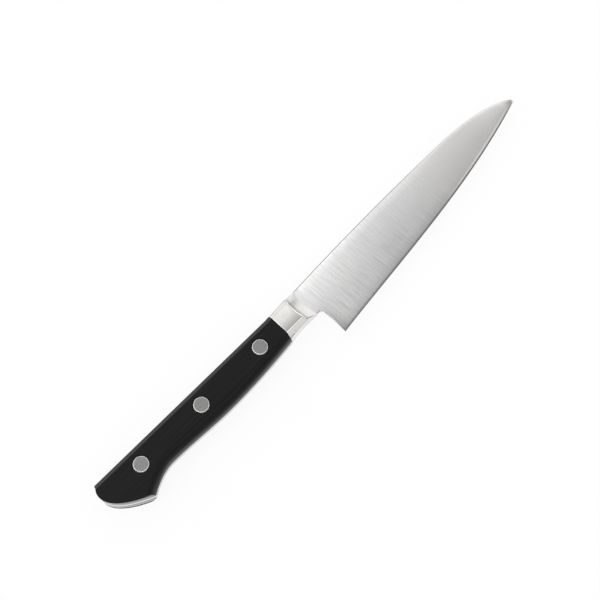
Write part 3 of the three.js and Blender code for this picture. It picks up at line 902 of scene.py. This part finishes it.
def bolster_steel():
    """Polished steel with faint lines along the knife and soft patches of handling.

    Painted highlights lighten the crease, found by its normals, the front ridge and the foot of the lower
    wall, and a broken weld seam runs along the wall above the foot."""
    material, tree, shader, place, normal = start_material("polished_bolster_steel")
    axes = split(tree, place)
    facing = split(tree, normal)
    lines = place_pattern(tree, place, grinding_lines, POLISH_LINES, pi / 2)
    smudge = place_pattern(tree, place, smudges, POLISH_SMUDGES)
    polished = mix_colors(tree, smudge, POLISHED, POLISHED_DULL)
    height = from_mid_steel(tree, place)
    # Painted highlights on the crease, the front ridge and the foot of the lower wall.
    crease = combine(
        tree, "MULTIPLY", ramp(tree, facing["Y"], *FACING_WALL, 0, 1),
        ramp(tree, facing["Y"], *FACING_SIDE, 1, 0))
    ridge = combine(
        tree, "MULTIPLY", ramp(tree, facing["X"], *FACING_FRONT, 0, 1),
        ramp(tree, height, *RIDGE_HEIGHT, 0, 1))
    at_belly = ramp(tree, axes["Y"], *(knife_origin.y + side * MM for side in BELLY_SIDE), 1, 0)
    over_foot = ramp(tree, height, *SEAM_RISE, 0, 1)
    foot = combine(tree, "MULTIPLY", at_belly, combine(tree, "SUBTRACT", 1.0, over_foot))
    highlighted = mix_colors(tree, combine(tree, "MAXIMUM", crease, ridge, foot), polished, PAINTED_HIGHLIGHT)
    patches = place_pattern(tree, place, smudges, SEAM_PATCHES)
    seam = combine(
        tree, "MULTIPLY", over_foot, ramp(tree, height, *SEAM_FALL, 1, 0), at_belly,
        along_knife(tree, axes["X"], *SEAM_END, 1, 0),
        ramp(tree, patches, *SEAM_PATCH_RANGE, SEAM_FAINTEST, 1))
    link(tree, mix_colors(tree, seam, highlighted, SEAM_GREY), shader.inputs["Base Color"])
    rough_lines = combine(tree, "MULTIPLY", lines, POLISH_LINE_ROUGHNESS)
    rough = combine(tree, "ADD", ramp(tree, smudge, 0, 1, *POLISH_ROUGHNESS), rough_lines)
    link(tree, rough, shader.inputs["Roughness"])
    shader.inputs["Metallic"].default_value = 1.0
    return material


SIDES = (("right", 1), ("left", -1))
bolster_sheets = shell_over_seat(bolster_surface(), closed_front=False)
polished_steel = bolster_steel()
for side, facing in SIDES:
    bolster = weld(f"{side}_bolster_half", [sheet * [1, 1, facing] for sheet in bolster_sheets], CRISP)
    finish_piece(bolster, polished_steel, "bolster_steel", f"{side}_bolster")

# Scales: two slabs of black resin-laminated wood, glued and riveted to the tang and ground flush with it.
# Their sides are flat, the back is chamfered, the belly is fully rounded and the butt is cut square.
BELLY_ROUND = 4.0
BELLY_END_ROUND = 3.0
SCALE_RIDGE_ROUND = 0.15
SCALE_END_ROUND = 0.12
HEAD_DIAMETER = 6.3
HEAD_HEIGHT = 2.2
RIM_GAP = 0.2
SEAT = HALF_STEEL + JOINT_GAP
BACK_DROPS = (0.0, BACK_DRAFT, BACK_DRAFT + CHAMFER_WIDTH, BACK_DRAFT + 2 * CHAMFER_WIDTH)
BACK_RISES = (SEAT, HALF_HANDLE - CHAMFER_DEPTH, HALF_HANDLE, HALF_HANDLE)
SEAT_EASE = 0.04
BACK_ARC_STEPS = 5
BACK_FLAT_STEPS = (4, 3)
FACE_COLUMNS = 25
BELLY_COLUMNS = 19
SCALE_ROWS = 180
ROW_CROWDING = 0.6
END_STEPS = 5
PROBE_STEPS = 4000
PROBE_MARGIN = 0.001


def back_weights():
    """Corner shares of the section's points from the tang over the chamfer, short of the side."""
    eased = SCALE_RIDGE_ROUND / CHAMFER_WIDTH
    return corner_weights([(SEAT_EASE, eased), (eased, eased)], BACK_ARC_STEPS, BACK_FLAT_STEPS)[:-1]


def scale_section(x):
    """y and z of the section's points at their own x: the eased chamfer hangs from the back, the side is
    flat, and the belly is an ellipse about the middle of the steel, broadest at the palm swell."""
    drops = back_weights() @ BACK_DROPS
    rises = back_weights() @ BACK_RISES
    back = slice(0, len(drops))
    face = slice(len(drops), len(drops) + FACE_COLUMNS)
    round_off = slice(len(drops) + FACE_COLUMNS, None)
    full = np.sin(pi * np.clip(x / BEAK_X, 0, 1))
    width = lerp(BELLY_END_ROUND, BELLY_ROUND, full)
    belly = belly_height(x)
    y = np.empty_like(x)
    z = np.full_like(x, HALF_HANDLE)
    y[:, back] = back_height(x[:, back]) - drops
    z[:, back] = rises
    share = np.linspace(0, 1, FACE_COLUMNS + 1)[1:]
    y[:, face] = lerp(back_height(x[:, face]) - drops[-1], (belly + width)[:, face], share)
    seat_turn = np.arcsin(SEAT / HALF_HANDLE)
    turn = np.linspace(pi / 2, seat_turn, BELLY_COLUMNS + 1)[1:]
    y[:, round_off] = belly[:, round_off] + width[:, round_off] * (1 - np.cos(turn) / np.cos(seat_turn))
    z[:, round_off] = HALF_HANDLE * np.sin(turn)
    return y, z


def scale_surface():
    """Rows run from the butt's curve to the joint, crowded at both ends, which are eased. Each column begins
    where its line along the handle first lies inside the butt's outline."""
    columns = len(back_weights()) + FACE_COLUMNS + BELLY_COLUMNS
    butt = butt_outline(2 * BUTT_STEPS)[::-1]
    probe = np.linspace(BUTT_X - BUTT_FULLNESS, BEAK_X + PROBE_MARGIN, PROBE_STEPS)
    probe_y, _ = scale_section(np.repeat(probe[:, None], columns, axis=1))
    inside = probe[:, None] >= np.interp(probe_y, butt[:, 1], butt[:, 0])
    start = probe[np.argmax(inside, axis=0)]
    turn = np.linspace(0, pi / 2, END_STEPS)
    t = np.linspace(0, 1, SCALE_ROWS)[1:-1]
    crowded = t - ROW_CROWDING / (2 * pi) * np.sin(2 * pi * t)
    share = np.concatenate([0 * turn, crowded, 1 + 0 * turn])
    nudge = SCALE_END_ROUND * np.concatenate([
        1 - np.cos(turn), lerp(1, -1, crowded), np.sin(turn) - 1])
    lowered = SCALE_END_ROUND * np.concatenate([1 - np.sin(turn), 0 * t, 1 - np.cos(turn)])
    x = lerp(start, -JOINT_GAP, share[:, None]) + nudge[:, None]
    y, z = scale_section(x)
    z = SEAT + (z - SEAT) * (1 - lowered[:, None] / (HALF_HANDLE - SEAT))
    return np.dstack([x, y, z])


WOOD_DARK = (0.003, 0.003, 0.0033, 1)
WOOD_LIGHT = (0.008, 0.0077, 0.0077, 1)
STREAK_SIZES = (0.35, 22.0, 0.35)
STREAK_RELIEF = 0.2
STREAK_DEPTH = 0.01
STREAK_ROUGHNESS = 0.06
WOOD_SMUDGES = (18.0, 9.0, 9.0)
WOOD_ROUGHNESS = (0.30, 0.38)
WOOD_SPECULAR = 0.15
SAWN_ROUGHNESS = 0.6
CHAMFER_POLISH = 0.55
BELLY_POLISH = 0.8
COAT_ROUGHNESS = 0.2
# Where each change begins and ends, first by a part of the normal and then in millimetres.
FACING_BUTT = (-0.3, -0.15)
FACING_BELLY = (-0.98, -0.87)
FACING_BACK = (0.3, 0.5)
BUTT_POLISH_FALL = (4.2, 4.9)


def black_wood():
    """Resin-soaked veneers pressed black: thin streaks along the handle in tone, gloss and a faint relief.

    A polished coat covers the butt, which stays dull and sawn by the sides, and part of the chamfer and
    of the belly's lowest line, all found by their normals."""
    material, tree, shader, place, normal = start_material("black_laminated_wood")
    facing = split(tree, normal)
    streaks = place_pattern(tree, place, grinding_lines, STREAK_SIZES, pi / 2)
    smudge = place_pattern(tree, place, smudges, WOOD_SMUDGES)
    link(tree, mix_colors(tree, streaks, WOOD_DARK, WOOD_LIGHT), shader.inputs["Base Color"])
    at_butt = ramp(tree, facing["X"], *FACING_BUTT, 1, 0)
    height = from_mid_steel(tree, place)
    polished_butt = combine(tree, "MULTIPLY", at_butt, ramp(tree, height, *BUTT_POLISH_FALL, 1, 0))
    sawn = combine(tree, "SUBTRACT", at_butt, polished_butt)
    rough = combine(
        tree, "ADD", ramp(tree, smudge, 0, 1, *WOOD_ROUGHNESS),
        combine(tree, "MULTIPLY", streaks, STREAK_ROUGHNESS), combine(tree, "MULTIPLY", sawn, SAWN_ROUGHNESS))
    link(tree, rough, shader.inputs["Roughness"])
    relief = combine(tree, "MULTIPLY", streaks, ramp(tree, facing["X"], *FACING_BUTT, 0, 1))
    bump = add_node(tree, "ShaderNodeBump", {
        "Height": relief, "Strength": STREAK_RELIEF, "Distance": STREAK_DEPTH * MM})
    link(tree, bump.outputs["Normal"], shader.inputs["Normal"])
    belly = ramp(tree, facing["Y"], *FACING_BELLY, BELLY_POLISH, 0)
    chamfer = ramp(tree, facing["Y"], *FACING_BACK, 0, CHAMFER_POLISH)
    link(tree, combine(tree, "MAXIMUM", chamfer, belly, polished_butt), shader.inputs["Coat Weight"])
    shader.inputs["Coat Roughness"].default_value = COAT_ROUGHNESS
    shader.inputs["Specular IOR Level"].default_value = WOOD_SPECULAR
    return material


head_hole = HEAD_DIAMETER / 2 + RIVET_FIT + RIM_GAP
head_seat = HALF_HANDLE - HEAD_HEIGHT - RIVET_FIT
bore = [
    (0, 0), (hole, 0), (hole, head_seat),
    (head_hole, head_seat), (head_hole, CUTTER_REACH), (0, CUTTER_REACH)]
scale_sheets = shell_over_seat(scale_surface())
wood = black_wood()
for side, facing in SIDES:
    scale = weld(f"{side}_wood_scale", [sheet * [1, 1, facing] for sheet in scale_sheets], CRISP)
    drill(scale, [(radius, z * facing) for radius, z in bore], CRISP)
    finish_piece(scale, wood, "black_wood", f"{side}_scale")

# Rivets: cutler's rivets of nickel-plated steel, ground flush with the scales. A head with a solid pin on the
# right is pressed into a head with a tube on the left, and the rim of each head is a little eased.
PIN_DIAMETER = 2.8
RIM_ROUND = 0.5
PIN_END_ROOM = 0.8
HEAD_RADIUS = HEAD_DIAMETER / 2
UNDER_HEAD = HALF_HANDLE - HEAD_HEIGHT
RIM_STEPS = 7


def eased_rim(facing):
    """(radius, z) points from the rivet's side over its rim to the middle of its flat top."""
    turn = np.linspace(0, pi / 2, RIM_STEPS)
    radius = HEAD_RADIUS - RIM_ROUND * (1 - np.cos(turn))
    z = HALF_HANDLE - RIM_ROUND * (1 - np.sin(turn))
    inner = radius[-1] * (1 - NEAR_CORNER)
    return list(zip(radius, facing * z)) + [(inner, facing * HALF_HANDLE), (0, facing * HALF_HANDLE)]


def pin_profile():
    """Solid pin below its head, from the middle of its end outwards."""
    end = -UNDER_HEAD + PIN_END_ROOM
    radius = PIN_DIAMETER / 2
    return [(0, end), (radius, end), (radius, UNDER_HEAD), (HEAD_RADIUS, UNDER_HEAD)] + eased_rim(1)


def tube_profile():
    """Tube above its head, from the bottom of its bore outwards."""
    outer = TUBE_DIAMETER / 2
    inner = PIN_DIAMETER / 2 + RIVET_FIT
    end = UNDER_HEAD - RIVET_FIT
    return [
        (0, -UNDER_HEAD), (inner, -UNDER_HEAD), (inner, end), (outer, end), (outer, -UNDER_HEAD),
        (HEAD_RADIUS, -UNDER_HEAD)] + eased_rim(-1)


RIVET_DARK = (0.20, 0.20, 0.20, 1)
RIVET_LIGHT = (0.27, 0.27, 0.265, 1)
# Painted highlight: the bright colour of each rivet's rim.
RIVET_RIM_HIGHLIGHT = (0.9, 0.9, 0.89, 1)
RIVET_LINES = (0.18, 4.0, 0.18)
RIVET_SMUDGES = (3.0, 3.0, 3.0)
RIVET_ROUGHNESS = (0.26, 0.36)
RIM_ROUGHNESS = 0.3
RIM_TILT = (0.9, 0.997)


def rivet_steel():
    """Satin metal with short lines along the knife, and a rougher rim, found by its tilt, painted bright as a
    highlight.
    """
    material, tree, shader, place, normal = start_material("satin_rivet_steel")
    lines = place_pattern(tree, place, grinding_lines, RIVET_LINES, pi / 2)
    smudge = place_pattern(tree, place, smudges, RIVET_SMUDGES)
    satin = mix_colors(tree, lines, RIVET_DARK, RIVET_LIGHT)
    upright = add_node(tree, "ShaderNodeMath", {0: split(tree, normal)["Z"]}, operation="ABSOLUTE").outputs[0]
    # Painted highlight on the rim, which is also rougher.
    rim = ramp(tree, upright, *RIM_TILT, 1, 0)
    link(tree, mix_colors(tree, rim, satin, RIVET_RIM_HIGHLIGHT), shader.inputs["Base Color"])
    rough = combine(
        tree, "ADD", ramp(tree, smudge, 0, 1, *RIVET_ROUGHNESS), ramp(tree, rim, 0, 1, 0, RIM_ROUGHNESS))
    link(tree, rough, shader.inputs["Roughness"])
    shader.inputs["Metallic"].default_value = 1.0
    return material


satin_metal = rivet_steel()
for number, name in enumerate(RIVET_NAMES):
    for half, profile in (("pin", pin_profile()), ("tube", tube_profile())):
        rivet = weld(f"{name}_{half}_head", [turned_sheet(profile, rivet_x(number))], CRISP)
        finish_piece(rivet, satin_metal, "rivet_steel", f"{name}_rivet_{half}")
